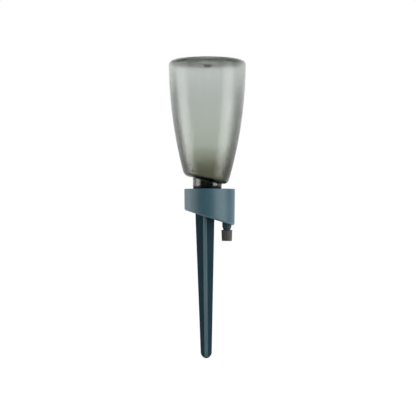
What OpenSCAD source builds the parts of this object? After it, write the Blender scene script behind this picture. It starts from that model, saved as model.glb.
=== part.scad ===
// Drip watering spike. An upturned bottle plugs into a holder with a tilted floor, a
// cross-bladed spike carries the holder over the soil, and a screw valve sets the drip.
// Millimetres, +Z up. X = 0, Y = 0 is the bottle's axis, and Z = 0 is the spike's tip.
// The holder's floor and the bottle's shoulder both fall towards +X.

/* [Bottle] */
// Diameter that the side's curve reaches at the level of the base, which is on top
bottle_d = 85.6; // [82:0.1:92]
// Height from the neck's ledge to the base
bottle_h = 139.4; // [125:0.1:160]
// Radius of the long curve of the side
side_r = 478; // [440:1:600]
// Rounding between the side and the base
base_edge_r = 5; // [4:0.5:7]
// Diameter of the hollow in the base
hollow_d = 62; // [50:1:66]
// Depth of the hollow in the base
hollow_h = 4.5; // [2:0.5:7]
// Wall of the side and the base
bottle_wall = 1.6; // [1.2:0.1:2.2]
// Wall of the tilted shoulder
shoulder_wall = 2.2; // [1.6:0.1:3]
// Height of the shoulder over the neck's ledge, on the axis
shoulder_h = 6.4; // [5.6:0.1:12]
// Tilt of the shoulder
shoulder_tilt = 12; // [6:0.5:14]
// Rounding of the shoulder's edge on its high side
shoulder_high_r = 8; // [5:0.5:10]
// Rounding of the shoulder's edge on its low side
shoulder_low_r = 5.6; // [4:0.2:8]
// Diameter of the thick moulding mark in the middle of the base
gate_d = 9; // [6:0.5:12]
// Height of the moulding mark, inside the base
gate_h = 1.4; // [0.8:0.1:2]

/* [Neck] */
// Diameter of the collar that shows between shoulder and cap
neck_d = 32.2; // [31:0.1:34]
// Wall of the collar
neck_wall = 1.8; // [1.2:0.1:2.2]
// Thickness of the ledge between the collar and the threaded mouth
ledge_t = 1.8; // [1.2:0.1:2.4]
// Diameter of the threaded mouth, under its thread
mouth_d = 24.6; // [23.6:0.1:24.8]
// Wall of the threaded mouth
mouth_wall = 1.6; // [1.2:0.1:2]
// Height of the thread over the mouth's wall
neck_thread_h = 1; // [0.7:0.1:1.1]
// Rise of the neck's thread in one turn
neck_pitch = 3.2; // [3:0.1:3.6]

/* [Cap] */
// Diameter of the rim that lies on the holder
rim_d = 31.6; // [31:0.1:34]
// Height of the rim
rim_h = 2.5; // [1.8:0.1:3.5]
// Rounding of the rim's lower edge
rim_edge_r = 0.9; // [0.4:0.1:1.2]
// Diameter of the plug that enters the holder
plug_d = 29.4; // [29:0.1:30.2]
// Length of the plug
plug_l = 12.8; // [12:0.1:15]
// Thickness of the cap's floor
cap_floor = 3.6; // [3.2:0.1:4.4]
// Diameter of the water port in the floor
port_d = 8; // [7:0.1:8.6]
// Thickness of the gasket under the bottle's mouth
gasket_t = 1.5; // [1:0.1:2]
// Thickness of the ring that seals the plug in the holder
plug_ring_t = 1.9; // [1.4:0.1:2.2]

/* [Bottle valve] */
// Outer diameter of the valve cage that stands in the neck
cage_d = 14.4; // [14:0.1:15.4]
// Wall of the cage
cage_wall = 1.4; // [1.2:0.1:1.6]
// Height of the cage over the cap's floor
cage_h = 22; // [20:0.5:26]
// Depth of the cage's foot in the floor
cage_foot = 1.2; // [0.8:0.1:1.6]
// Width of each water window in the cage
window_w = 3.6; // [2.5:0.1:4.5]
// Number of water windows
window_count = 3; // [2:1:4]
// Thickness of the cage's lid
cage_lid_t = 1.9; // [1.4:0.1:2.4]
// Depth of the lid's spigot in the cage
cage_spigot = 2; // [1.4:0.1:3]
// How far the stem holds the valve open
valve_open = 3; // [2:0.1:3.5]
// Diameter of the valve's plate
plate_d = 9.8; // [9.4:0.1:10.4]
// Thickness of the valve's plate
plate_t = 1.6; // [1.2:0.1:2]
// Thickness of the rubber seal under the plate
seal_t = 1.2; // [0.8:0.1:1.6]
// Diameter of the stem
stem_d = 3.4; // [3:0.1:3.8]
// Diameter of the spring's wire
wire_d = 0.7; // [0.5:0.1:0.9]
// Middle diameter of the spring's coils
coil_d = 6.6; // [6:0.1:7.4]
// Number of the spring's coils
coils = 6.5; // [4:0.5:9]

/* [Holder] */
// Diameter at the top
holder_d = 56.3; // [55:0.1:62]
// Height from the tilted underside to the top, in the middle
holder_h = 32.3; // [31:0.1:36]
// Distance of the holder's middle from the bottle's axis
holder_x = 2.6; // [1.6:0.1:3.6]
// Tilt of the floor
holder_tilt = 17.8; // [14:0.2:19]
// Draft of the side
holder_draft = 0.7; // [0:0.1:1.2]
// Wall beside the lid
holder_wall = 2.2; // [1.8:0.1:2.6]
// Thickness of the tilted floor
holder_floor = 2.4; // [2:0.1:3]
// Rounding of the lower edge
holder_foot_r = 2.2; // [1.5:0.1:3]
// Rounding of the upper edge
holder_rim_r = 0.8; // [0.4:0.1:1.2]
// Width of the ledge that carries the lid
lid_ledge = 1.1; // [0.9:0.1:1.4]
// Thickness of the lid
lid_t = 3; // [2.4:0.1:4]
// Thickness of the flat seal under the lid
lid_seal_t = 0.8; // [0.6:0.1:1.2]
// Diameter of the lid's air hole
vent_d = 2.4; // [1.6:0.2:3.2]
// Wall of the lid's socket
socket_wall = 1.8; // [1.4:0.1:2.2]
// Depth of the socket below the end of the plug
socket_extra = 2; // [1:0.1:3]
// Diameter of the pin that opens the bottle's valve
pin_d = 4.2; // [3.6:0.1:5]

/* [Spike] */
// Height of the holder's underside over the tip, in the holder's middle
stand_h = 155.5; // [120:0.5:200]
// Width of the blades at the holder
spike_top_w = 22.4; // [20:0.1:24]
// Width of the blades over the rounded tip
spike_tip_w = 12.4; // [10:0.1:16]
// Radius of each flank of the tip
tip_flank_r = 7.2; // [6.8:0.1:12]
// Thickness of the blades
blade_t = 3.5; // [2.8:0.1:4.2]
// Distance of the tip from the bottle's axis, away from the valve
tip_x = 1.1; // [0:0.1:2.5]
// Lean of the spike, away from the valve
spike_lean = 0.55; // [0:0.05:1]
// Width of the tongue that enters the holder
tongue_w = 14; // [12:0.1:15]
// Length of the tongue
tongue_l = 9; // [7:0.1:9.6]
// Wall round the tongue's pocket
boss_wall = 2; // [1.6:0.1:2.4]

/* [Drip valve] */
// Distance of the valve from the holder's edge
drip_x = 9.05; // [8.75:0.05:10.15]
// Diameter of the fluted barrel
barrel_d = 10.4; // [10:0.1:11]
// Length of the barrel under the holder
barrel_l = 6.8; // [6.4:0.1:9]
// Height of the cone at the barrel's end
barrel_cone_h = 2.6; // [2:0.1:3]
// Diameter of the cone's end
barrel_cone_d = 8.2; // [8:0.1:8.6]
// Number of flutes round the barrel
barrel_flutes = 10; // [8:1:12]
// Depth of the barrel's flutes
barrel_flute_h = 0.5; // [0.3:0.1:0.6]
// Diameter of the spigot in the holder's outlet
outlet_d = 7.4; // [7:0.1:7.6]
// Height of the outlet's collar over the floor
outlet_h = 2.2; // [1.6:0.1:3]
// Wall of the outlet's collar
outlet_wall = 1.6; // [1.2:0.1:2]
// Diameter of the water channel
channel_d = 3.6; // [3.2:0.1:3.8]
// Diameter of the spout, under its thread
spout_d = 7; // [6.8:0.1:7.2]
// Height of the spout's thread
spout_thread_h = 0.45; // [0.35:0.05:0.5]
// Rise of the spout's thread in one turn
spout_pitch = 1.5; // [1.4:0.05:1.6]
// Thickness of the two small sealing rings
small_ring_t = 1; // [0.8:0.1:1.1]
// Diameter of the knob at its top
knob_top_d = 12.2; // [12:0.1:13.5]
// Diameter of the knob at its bottom
knob_foot_d = 11.3; // [11.2:0.1:12]
// Height of the knob
knob_h = 12.2; // [12:0.1:12.6]
// Thickness of the knob's floor
knob_floor = 2.4; // [2:0.1:2.6]
// How far the knob comes down from closed to fully open
knob_travel = 3; // [2:0.25:3.5]
// Number of grip flutes round the knob
knob_flutes = 18; // [12:1:24]
// Depth of the grip flutes
knob_flute_h = 0.3; // [0.2:0.05:0.4]
// Diameter of the drip hole
drip_hole_d = 3; // [2.6:0.1:4]
// Thickness of the needle's foot
needle_foot_t = 1; // [0.8:0.1:1.2]
// Length of the tapered needle
needle_l = 5.5; // [4:0.1:6.5]

/* [Hidden] */
// Clearances: pieces that slide, rings in their bores, and pieces pushed together
slide_gap = 0.3;
ring_gap = 0.08;
push_gap = 0.12;
// Play of the threads, along the radius
thread_gap = 0.2;
small_thread_gap = 0.1;
// How far a cut runs past the surface that it opens
overrun = 1;
// How far a thread is rooted in its wall
thread_root = 0.2;
// Segments round a moulded skin, and steps along its curves
skin_sides = 64;
hollow_steps = 4;
edge_steps = 4;
side_steps = 8;
foot_steps = 5;
tip_steps = 8;
// Segments in one turn of a thread and of the spring, and sides of its wire
thread_sides = 24;
coil_sides = 16;
wire_sides = 6;
$fn = 48;

// Heights of the stack, from the holder up
holder_top = stand_h + holder_h;
rim_top = holder_top + rim_h;
ledge_z = rim_top + slide_gap;
base_z = ledge_z + bottle_h;
shoulder_z = ledge_z + shoulder_h;
plug_z = holder_top - plug_l;
floor_z = plug_z + cap_floor;
mouth_z = floor_z + gasket_t;
lid_z = holder_top - lid_t;
ledge_seat_z = lid_z - lid_seal_t;

// Fit of the cap in the holder
socket_d = plug_d + 2 * slide_gap;
plug_ring_d = socket_d - 2 * ring_gap - plug_ring_t;
plug_groove_z = plug_z + cap_floor / 2;
groove_play = 0.1;

// Fit of the neck in the cap
neck_thread_d = mouth_d + 2 * neck_thread_h;
cap_bore_d = neck_thread_d + 2 * thread_gap;
neck_ridge_w = neck_pitch / 2;
neck_crest_w = neck_ridge_w / 2;
neck_thread_z = mouth_z + neck_ridge_w;
neck_turns = (ledge_z - mouth_z - 3 * neck_ridge_w) / neck_pitch;

// Bottle valve
cage_top = floor_z + cage_h - cage_lid_t;
cage_bore_d = cage_d - 2 * cage_wall;
seat_land_d = cage_bore_d - 2 * push_gap;
plate_z = floor_z + valve_open + seal_t;
seal_bore_d = stem_d + 2 * push_gap;
spring_low_z = plate_z + plate_t;
spring_high_z = cage_top - cage_spigot;
stem_foot_z = plug_z - socket_extra / 2;
stem_top_z = cage_top + cage_lid_t + overrun;
window_low_z = floor_z + overrun;
window_high_z = cage_top - cage_spigot - 2 * overrun;

// Holder
chamber_d = holder_d - 2 * (holder_wall + lid_ledge);
lid_bore_d = holder_d - 2 * holder_wall;
lid_d = lid_bore_d - 2 * push_gap;
socket_end_z = plug_z - socket_extra;
pin_top_z = stem_foot_z;
fall = tan(holder_tilt);
floor_rise = holder_floor / cos(holder_tilt);
cut_span = 3 * holder_d;

// Height of the holder's underside at a distance from the bottle's axis
function under_z(x) = stand_h - (x - holder_x) * fall;

// Spike, in its own frame: the tip is its origin and the blades stand along Z
spike_top_l = (under_z(-tip_x) + (tip_x + stand_h * sin(spike_lean)) * fall) / cos(spike_lean);
tip_w_half = spike_tip_w / 2;
tip_l = sqrt(pow(tip_flank_r, 2) - pow(tip_flank_r - tip_w_half, 2));
spike_x = -tip_x - under_z(-tip_x) * sin(spike_lean);
pocket_l = tongue_l + slide_gap;
boss_d = sqrt(pow(tongue_w, 2) + pow(blade_t, 2)) + 2 * (push_gap + boss_wall);
boss_top_z = under_z(spike_x) + pocket_l + boss_wall;

// Drip valve, down from the holder's underside
valve_x = holder_x + holder_d / 2 - drip_x;
drip_under_z = under_z(valve_x);
cone_z = drip_under_z - barrel_l;
knob_top_z = cone_z - slide_gap;
knob_z = knob_top_z - knob_h;
knob_floor_z = knob_z + knob_floor;
needle_top_z = knob_floor_z + needle_foot_t;
spout_z = needle_top_z + slide_gap;
outlet_bore_d = outlet_d + 2 * push_gap;
outlet_top_z = drip_under_z + floor_rise + outlet_h;
outlet_ring_d = outlet_bore_d - 2 * ring_gap - small_ring_t;
outlet_ring_z = drip_under_z + floor_rise / 2 + small_ring_t;
knob_bore_d = spout_d + 2 * (spout_thread_h + small_thread_gap);
knob_ring_d = knob_bore_d - 2 * ring_gap - small_ring_t;
knob_ring_z = spout_z + small_ring_t;
knob_mouth_h = 0.8;
knob_foot_edge = 0.5;
needle_foot_d = knob_bore_d - 2 * slide_gap;
needle_d = channel_d - 2 * push_gap;
needle_tip_d = needle_d / 3;
spout_ridge_w = spout_pitch / 2;
spout_crest_w = spout_ridge_w / 2;
spout_thread_z = knob_ring_z + small_ring_t + spout_ridge_w;
spout_turns = (cone_z - spout_thread_z - spout_ridge_w) / spout_pitch;
knob_thread_low_z = knob_ring_z + small_ring_t + knob_travel;
knob_thread_steps = ceil((knob_thread_low_z - spout_thread_z) / spout_pitch);
knob_thread_z = spout_thread_z + spout_pitch * (knob_thread_steps + 1 / 2);
knob_turns = (knob_top_z - knob_mouth_h / 2 - knob_thread_z - spout_ridge_w / 2) / spout_pitch;

// A point at a radius, an angle and a height
function around(r, angle, z) = [r * cos(angle), r * sin(angle), z];

// Points of an arc in a meridian's [radius, height] plane
function arc_points(middle, r, from, to, steps, first = 0) =
    [for (i = [first:steps]) let (angle = from + (to - from) * i / steps)
        middle + r * [cos(angle), sin(angle)]];

// Distance from the axis at which a line of a slope, lifted to a height, meets a circle
function line_on_circle(middle, r, slope, height) =
    let (k = height - middle[1],
         a = 1 + slope * slope,
         b = middle[0] + slope * k,
         c = pow(middle[0], 2) + k * k - r * r)
    (b + sqrt(b * b - a * c)) / a;

// A closed skin through meridians of [radius, height] points, from top to bottom.
// Each meridian starts near the axis under the top point and ends near the bottom one.
module skin(meridians, top_z, bottom_z) {
    sides = len(meridians);
    rings = len(meridians[0]);
    last = 1 + rings * sides;
    points = concat([[0, 0, top_z]],
                    [for (k = [0:rings - 1], i = [0:sides - 1])
                        around(meridians[i][k][0], 360 * i / sides, meridians[i][k][1])],
                    [[0, 0, bottom_z]]);
    faces = concat([for (i = [0:sides - 1]) [0, 1 + (i + 1) % sides, 1 + i]],
                   [for (k = [0:rings - 2], i = [0:sides - 1])
                       let (a = 1 + k * sides + i, b = 1 + k * sides + (i + 1) % sides)
                       each [[a, b, b + sides], [a, b + sides, a + sides]]],
                   [for (i = [0:sides - 1])
                       let (base = last - sides)
                       [base + i, base + (i + 1) % sides, last]]);
    polyhedron(points, faces);
}

// A ridge that climbs round the Z axis. The section's points go from its inner lower corner
// out, up and in again, as [radius, height].
module climbing_ridge(section, pitch, turns, sides) {
    steps = ceil(turns * sides);
    corners = len(section);
    points = [for (i = [0:steps], p = section)
        around(p[0], 360 * turns * i / steps, p[1] + pitch * turns * i / steps)];
    faces = concat([[for (j = [corners - 1:-1:0]) j]],
                   [for (i = [0:steps - 1], j = [0:corners - 1])
                       let (a = i * corners + j, b = i * corners + (j + 1) % corners)
                       each [[a, b + corners, a + corners], [a, b, b + corners]]],
                   [[for (j = [0:corners - 1]) steps * corners + j]]);
    polyhedron(points, faces);
}

// A screw thread on the outside of a wall of a diameter
module outer_thread(d, h, root_w, crest_w, pitch, turns, sides) {
    r = d / 2;
    climbing_ridge([[r - thread_root, -root_w / 2], [r + h, -crest_w / 2],
                    [r + h, crest_w / 2], [r - thread_root, root_w / 2]], pitch, turns, sides);
}

// A screw thread on the inside of a bore of a diameter
module inner_thread(d, h, root_w, crest_w, pitch, turns, sides) {
    r = d / 2;
    climbing_ridge([[r - h, -crest_w / 2], [r + thread_root, -root_w / 2],
                    [r + thread_root, root_w / 2], [r - h, crest_w / 2]], pitch, turns, sides);
}

// A plain tube between two heights
module tube(outer_d, inner_d, low, high) {
    translate([0, 0, low]) difference() {
        cylinder(d = outer_d, h = high - low);
        translate([0, 0, -overrun]) cylinder(d = inner_d, h = high - low + 2 * overrun);
    }
}

// A round rubber ring
module rubber_ring(middle_d, thickness, z) {
    translate([0, 0, z]) rotate_extrude() translate([middle_d / 2, 0]) circle(d = thickness, $fn = 24);
}

// The groove that a round rubber ring lies in, with room over and under it
module ring_groove(outer_d, middle_d, thickness, z) {
    room = thickness + 2 * groove_play;
    tube(outer_d + 2 * overrun, middle_d - thickness - groove_play, z - room / 2, z + room / 2);
}

// All the space over a plane that lies parallel to the holder's underside
module over_floor(rise) {
    translate([holder_x, 0, stand_h + rise]) rotate([0, holder_tilt, 0])
        translate([-cut_span / 2, -cut_span / 2, 0]) cube(cut_span);
}

// Rounding of the shoulder's edge on the meridian at an angle
function shoulder_edge_r(angle) =
    (shoulder_high_r + shoulder_low_r) / 2 - cos(angle) * (shoulder_high_r - shoulder_low_r) / 2;

// Outline of the bottle on one meridian, from the base's hollow down to the shoulder.
// The inset is zero for the outside and the wall's thickness for the inside.
function bottle_meridian(angle, inset) =
    let (side_middle = [bottle_d / 2 - side_r, base_z],
         side_reach = sqrt(pow(side_r - base_edge_r, 2) - pow(base_edge_r, 2)),
         side_start = -atan(base_edge_r / side_reach),
         base_middle = side_middle + [side_reach, -base_edge_r],
         slope = tan(shoulder_tilt) * cos(angle),
         edge_r = shoulder_edge_r(angle) - inset,
         rise = inset > 0 ? shoulder_wall / cos(shoulder_tilt) : 0,
         lifted = shoulder_z + rise + edge_r * sqrt(1 + slope * slope),
         edge_x = line_on_circle(side_middle, side_r - inset - edge_r, slope, lifted),
         edge_middle = [edge_x, lifted - slope * edge_x],
         to_edge = edge_middle - side_middle,
         side_end = atan2(to_edge[1], to_edge[0]))
    concat([for (i = [1:hollow_steps]) let (share = i / hollow_steps)
               [share * hollow_d / 2, base_z - inset - hollow_h * (1 + cos(180 * share)) / 2]],
           arc_points(base_middle, base_edge_r - inset, 90, side_start, edge_steps),
           arc_points(side_middle, side_r - inset, side_start, side_end, side_steps, 1),
           arc_points(edge_middle, edge_r, side_end, -90 - atan(slope), foot_steps, 1));

module bottle_skin(inset) {
    rise = inset > 0 ? shoulder_wall / cos(shoulder_tilt) : 0;
    skin([for (i = [0:skin_sides - 1]) bottle_meridian(360 * i / skin_sides, inset)],
         base_z - inset - hollow_h, shoulder_z + rise);
}

// Reservoir, upside down, with its threaded mouth below
module bottle() {
    collar_top = shoulder_z + tan(shoulder_tilt) * neck_d / 2;
    inside_z = collar_top + shoulder_wall + overrun;
    color([0.42, 0.45, 0.41, 0.5]) {
        difference() {
            union() {
                bottle_skin(0);
                translate([0, 0, ledge_z]) cylinder(d = neck_d, h = collar_top - ledge_z);
                translate([0, 0, mouth_z]) cylinder(d = mouth_d, h = ledge_z - mouth_z + ledge_t / 2);
            }
            bottle_skin(bottle_wall);
            translate([0, 0, mouth_z - overrun])
                cylinder(d = mouth_d - 2 * mouth_wall, h = inside_z - mouth_z + overrun);
            translate([0, 0, ledge_z + ledge_t])
                cylinder(d = neck_d - 2 * neck_wall, h = inside_z - ledge_z - ledge_t);
        }
        translate([0, 0, base_z - hollow_h - bottle_wall - gate_h])
            cylinder(d = gate_d, h = gate_h + bottle_wall / 2);
        translate([0, 0, neck_thread_z])
            outer_thread(mouth_d, neck_thread_h, neck_ridge_w, neck_crest_w, neck_pitch, neck_turns,
                         thread_sides);
    }
}

// Screw cap whose rim lies on the holder and whose plug seals in it
module cap() {
    foot_d = cage_d + 2 * push_gap;
    color([0.03, 0.03, 0.035]) {
        difference() {
            union() {
                translate([0, 0, plug_z]) cylinder(d1 = plug_d - 2 * rim_edge_r, d2 = plug_d, h = rim_edge_r);
                translate([0, 0, plug_z + rim_edge_r]) cylinder(d = plug_d, h = plug_l - rim_edge_r);
                translate([0, 0, holder_top]) rotate_extrude() polygon(
                    concat([[0, 0]],
                           arc_points([rim_d / 2 - rim_edge_r, rim_edge_r], rim_edge_r, -90, 0, edge_steps),
                           [[rim_d / 2, rim_h], [0, rim_h]]));
            }
            translate([0, 0, floor_z]) cylinder(d = cap_bore_d, h = rim_top - floor_z + overrun);
            translate([0, 0, plug_z - overrun]) cylinder(d = port_d, h = cap_floor + 2 * overrun);
            tube(foot_d, seat_land_d, floor_z - cage_foot, floor_z + overrun);
            ring_groove(plug_d, plug_ring_d, plug_ring_t, plug_groove_z);
        }
        translate([0, 0, neck_thread_z + neck_pitch / 2])
            inner_thread(cap_bore_d, neck_thread_h, neck_ridge_w, neck_crest_w, neck_pitch,
                         neck_turns - 1 / 2, thread_sides);
    }
}

module cap_gasket() {
    color([0.75, 0.75, 0.72])
        tube(mouth_d, cage_d + 2 * push_gap + 2 * slide_gap, floor_z, mouth_z);
}

module plug_ring() {
    color([0.05, 0.05, 0.05]) rubber_ring(plug_ring_d, plug_ring_t, plug_groove_z);
}

// Slotted tower that guides the bottle's valve
module valve_cage() {
    color([0.03, 0.03, 0.035]) difference() {
        tube(cage_d, cage_bore_d, floor_z - cage_foot, cage_top);
        for (i = [0:window_count - 1])
            rotate([0, 0, 90 + 360 * i / window_count])
                translate([0, -window_w / 2, window_low_z])
                    cube([cage_d, window_w, window_high_z - window_low_z]);
    }
}

module cage_lid() {
    color([0.03, 0.03, 0.035]) difference() {
        union() {
            translate([0, 0, cage_top]) cylinder(d = cage_d, h = cage_lid_t);
            translate([0, 0, cage_top - cage_spigot])
                cylinder(d = cage_bore_d - 2 * push_gap, h = cage_spigot + cage_lid_t / 2);
        }
        translate([0, 0, cage_top - cage_spigot - overrun])
            cylinder(d = stem_d + 2 * slide_gap, h = cage_spigot + cage_lid_t + 2 * overrun);
    }
}

module valve_stem() {
    color([0.85, 0.85, 0.82]) {
        translate([0, 0, stem_foot_z]) cylinder(d = stem_d, h = stem_top_z - stem_foot_z);
        translate([0, 0, plate_z]) cylinder(d = plate_d, h = plate_t);
    }
}

module valve_seal() {
    color([0.1, 0.1, 0.1]) tube(plate_d, seal_bore_d, plate_z - seal_t, plate_z);
}

// One unbroken wire, wound between the valve's plate and the cage's lid
module valve_spring() {
    wire_r = wire_d / 2;
    low = spring_low_z + wire_r + push_gap;
    high = spring_high_z - wire_r - push_gap;
    section = [for (j = [0:wire_sides - 1]) let (angle = 360 * j / wire_sides)
        [coil_d / 2 + wire_r * cos(angle), wire_r * sin(angle)]];
    color([0.7, 0.71, 0.73]) translate([0, 0, low])
        climbing_ridge(section, (high - low) / coils, coils, coil_sides);
}

// Outline of the holder on one meridian, from the upper edge down to the underside
function holder_meridian(angle) =
    let (draft = tan(holder_draft),
         slope = fall * cos(angle),
         rim_middle = [holder_d / 2 - holder_rim_r, holder_top - holder_rim_r],
         steep = sqrt(1 + slope * slope),
         level = stand_h + holder_foot_r * steep,
         foot_x = (holder_d / 2 - (holder_top - level) * draft - holder_foot_r * sqrt(1 + draft * draft))
                  / (1 + slope * draft),
         foot_middle = [foot_x, level - slope * foot_x])
    concat(arc_points(rim_middle, holder_rim_r, 90, 0, edge_steps),
           arc_points(foot_middle, holder_foot_r, -holder_draft, -90 - atan(slope), foot_steps));

module holder_skin() {
    translate([holder_x, 0, 0])
        skin([for (i = [0:skin_sides - 1]) holder_meridian(360 * i / skin_sides)], holder_top, stand_h);
}

// Places what follows in the spike's own frame
module on_spike() {
    translate([-tip_x, 0, 0]) rotate([0, -spike_lean, 0]) children();
}

// Cross-shaped prism of the spike's tongue, or of its pocket when it is grown
module tongue(grow, low, high) {
    for (turn = [0, 90])
        rotate([0, 0, turn]) translate([-tongue_w / 2 - grow, -blade_t / 2 - grow, low])
            cube([tongue_w + 2 * grow, blade_t + 2 * grow, high - low]);
}

// Cup with a tilted floor, a pocket for the spike, a pin for the bottle's valve and an outlet
module holder_cup() {
    chamber_h = holder_top - stand_h + holder_d;
    color([0.25, 0.36, 0.4]) difference() {
        union() {
            difference() {
                holder_skin();
                translate([holder_x, 0, ledge_seat_z])
                    cylinder(d = lid_bore_d, h = holder_top - ledge_seat_z + overrun);
                intersection() {
                    translate([holder_x, 0, holder_top - chamber_h]) cylinder(d = chamber_d, h = chamber_h);
                    over_floor(floor_rise);
                }
            }
            intersection() {
                union() {
                    translate([spike_x, 0, boss_top_z - chamber_h]) cylinder(d = boss_d, h = chamber_h);
                    translate([valve_x, 0, outlet_top_z - chamber_h])
                        cylinder(d = outlet_bore_d + 2 * outlet_wall, h = chamber_h);
                }
                over_floor(floor_rise / 2);
            }
            translate([0, 0, boss_top_z - boss_wall / 2])
                cylinder(d = pin_d, h = pin_top_z - boss_top_z + boss_wall / 2);
        }
        on_spike() tongue(push_gap, spike_top_l - tongue_w, spike_top_l + pocket_l);
        translate([valve_x, 0, drip_under_z - boss_d]) cylinder(d = outlet_bore_d, h = 2 * boss_d);
    }
}

// Top plate of the holder with the socket for the bottle's cap
module holder_lid() {
    color([0.25, 0.36, 0.4]) difference() {
        union() {
            translate([holder_x, 0, lid_z]) cylinder(d = lid_d, h = lid_t);
            translate([0, 0, socket_end_z])
                cylinder(d = socket_d + 2 * socket_wall, h = lid_z - socket_end_z + lid_t / 2);
        }
        translate([0, 0, socket_end_z - overrun])
            cylinder(d = socket_d, h = holder_top - socket_end_z + 2 * overrun);
        translate([valve_x, 0, lid_z - overrun]) cylinder(d = vent_d, h = lid_t + 2 * overrun);
    }
}

module lid_seal() {
    color([0.1, 0.1, 0.1]) translate([holder_x, 0, 0])
        tube(lid_bore_d - 2 * push_gap, chamber_d + 2 * push_gap, ledge_seat_z, lid_z);
}

// Outline of a blade: straight tapering sides and a rounded, slightly pointed tip
module blade_outline(length) {
    flank = acos((tip_flank_r - tip_w_half) / tip_flank_r);
    right = arc_points([tip_w_half - tip_flank_r, tip_l], tip_flank_r, -flank, 0, tip_steps);
    top_half = spike_top_w / 2;
    polygon(concat(right, [[top_half, length], [-top_half, length]],
                   [for (i = [tip_steps:-1:1]) [-right[i][0], right[i][1]]]));
}

// Spike with two crossed blades, cut to the holder's underside, and a tongue over them
module spike() {
    blade_l = spike_top_l + spike_top_w;
    color([0.19, 0.29, 0.33]) {
        difference() {
            on_spike() for (turn = [0, 90])
                rotate([90, 0, turn]) translate([0, 0, -blade_t / 2])
                    linear_extrude(blade_t) blade_outline(blade_l);
            over_floor(0);
        }
        on_spike() tongue(0, spike_top_l - tongue_w / 2, spike_top_l + tongue_l);
    }
}

// Barrel that hangs under the outlet and carries the knob on a threaded spout
module drip_barrel() {
    flute_d = barrel_d / 4;
    spigot_top = outlet_top_z + small_ring_t;
    color([0.2, 0.31, 0.35]) difference() {
        union() {
            difference() {
                translate([valve_x, 0, 0]) difference() {
                    translate([0, 0, cone_z + barrel_cone_h]) cylinder(d = barrel_d, h = barrel_l);
                    for (i = [0:barrel_flutes - 1])
                        rotate([0, 0, 360 * i / barrel_flutes])
                            translate([(barrel_d + flute_d) / 2 - barrel_flute_h, 0, cone_z])
                                cylinder(d = flute_d, h = 2 * barrel_l);
                }
                over_floor(0);
            }
            translate([valve_x, 0, cone_z])
                cylinder(d1 = barrel_cone_d, d2 = barrel_d - 2 * barrel_flute_h, h = barrel_cone_h);
            translate([valve_x, 0, spout_z]) cylinder(d = spout_d, h = cone_z - spout_z + barrel_cone_h / 2);
            translate([valve_x, 0, cone_z + barrel_cone_h / 2])
                cylinder(d = outlet_d, h = spigot_top - cone_z - barrel_cone_h / 2);
            translate([valve_x, 0, spout_thread_z])
                outer_thread(spout_d, spout_thread_h, spout_ridge_w, spout_crest_w, spout_pitch, spout_turns,
                             thread_sides);
        }
        translate([valve_x, 0, spout_z - overrun])
            cylinder(d = channel_d, h = spigot_top - spout_z + 2 * overrun);
        translate([valve_x, 0, 0]) {
            ring_groove(spout_d, knob_ring_d, small_ring_t, knob_ring_z);
            ring_groove(outlet_d, outlet_ring_d, small_ring_t, outlet_ring_z);
        }
    }
}

module outlet_ring() {
    color([0.1, 0.1, 0.1]) translate([valve_x, 0, 0]) rubber_ring(outlet_ring_d, small_ring_t, outlet_ring_z);
}

// Tapered needle that narrows the spout's end, on a foot with holes for the water
module drip_needle() {
    hole_d = needle_foot_d / 6;
    hole_x = (needle_d + needle_foot_d) / 4;
    color([0.8, 0.8, 0.78]) translate([valve_x, 0, knob_floor_z]) {
        difference() {
            cylinder(d = needle_foot_d, h = needle_foot_t);
            for (turn = [0:120:240])
                rotate([0, 0, turn]) translate([hole_x, 0, -overrun])
                    cylinder(d = hole_d, h = needle_foot_t + 2 * overrun);
        }
        translate([0, 0, needle_foot_t / 2])
            cylinder(d1 = needle_d, d2 = needle_tip_d, h = needle_l);
    }
}

module knob_ring() {
    color([0.1, 0.1, 0.1]) translate([valve_x, 0, 0]) rubber_ring(knob_ring_d, small_ring_t, knob_ring_z);
}

// Knob that turns on the spout and drips through its floor
module drip_knob() {
    flute_d = knob_foot_d / 10;
    well_h = knob_floor / 3;
    taper = (knob_top_d - knob_foot_d) / 2 / (knob_h - knob_foot_edge);
    color([0.17, 0.17, 0.17]) translate([valve_x, 0, 0]) {
        difference() {
            union() {
                translate([0, 0, knob_z + knob_foot_edge])
                    cylinder(d1 = knob_foot_d, d2 = knob_top_d, h = knob_h - knob_foot_edge);
                translate([0, 0, knob_z])
                    cylinder(d1 = knob_foot_d - 2 * knob_foot_edge, d2 = knob_foot_d, h = knob_foot_edge);
            }
            for (i = [0:knob_flutes - 1])
                rotate([0, 0, 360 * i / knob_flutes])
                    translate([(knob_foot_d + flute_d) / 2 - knob_flute_h, 0, knob_z - overrun])
                        rotate([0, atan(taper), 0]) cylinder(d = flute_d, h = knob_h + 2 * overrun);
            translate([0, 0, knob_floor_z]) cylinder(d = knob_bore_d, h = knob_h);
            translate([0, 0, knob_floor_z - well_h]) cylinder(d = needle_foot_d - 2 * slide_gap, h = knob_h);
            translate([0, 0, knob_z - overrun]) cylinder(d = drip_hole_d, h = knob_floor + overrun);
            translate([0, 0, knob_top_z - knob_mouth_h])
                cylinder(d1 = knob_bore_d, d2 = knob_bore_d + 2 * (knob_mouth_h + overrun),
                         h = knob_mouth_h + overrun);
        }
        translate([0, 0, knob_thread_z])
            inner_thread(knob_bore_d, spout_thread_h, spout_ridge_w, spout_crest_w, spout_pitch, knob_turns,
                         thread_sides);
    }
}

bottle();
cap();
cap_gasket();
plug_ring();
valve_cage();
cage_lid();
valve_stem();
valve_seal();
valve_spring();
holder_cup();
holder_lid();
lid_seal();
spike();
drip_barrel();
outlet_ring();
drip_needle();
knob_ring();
drip_knob();
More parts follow.
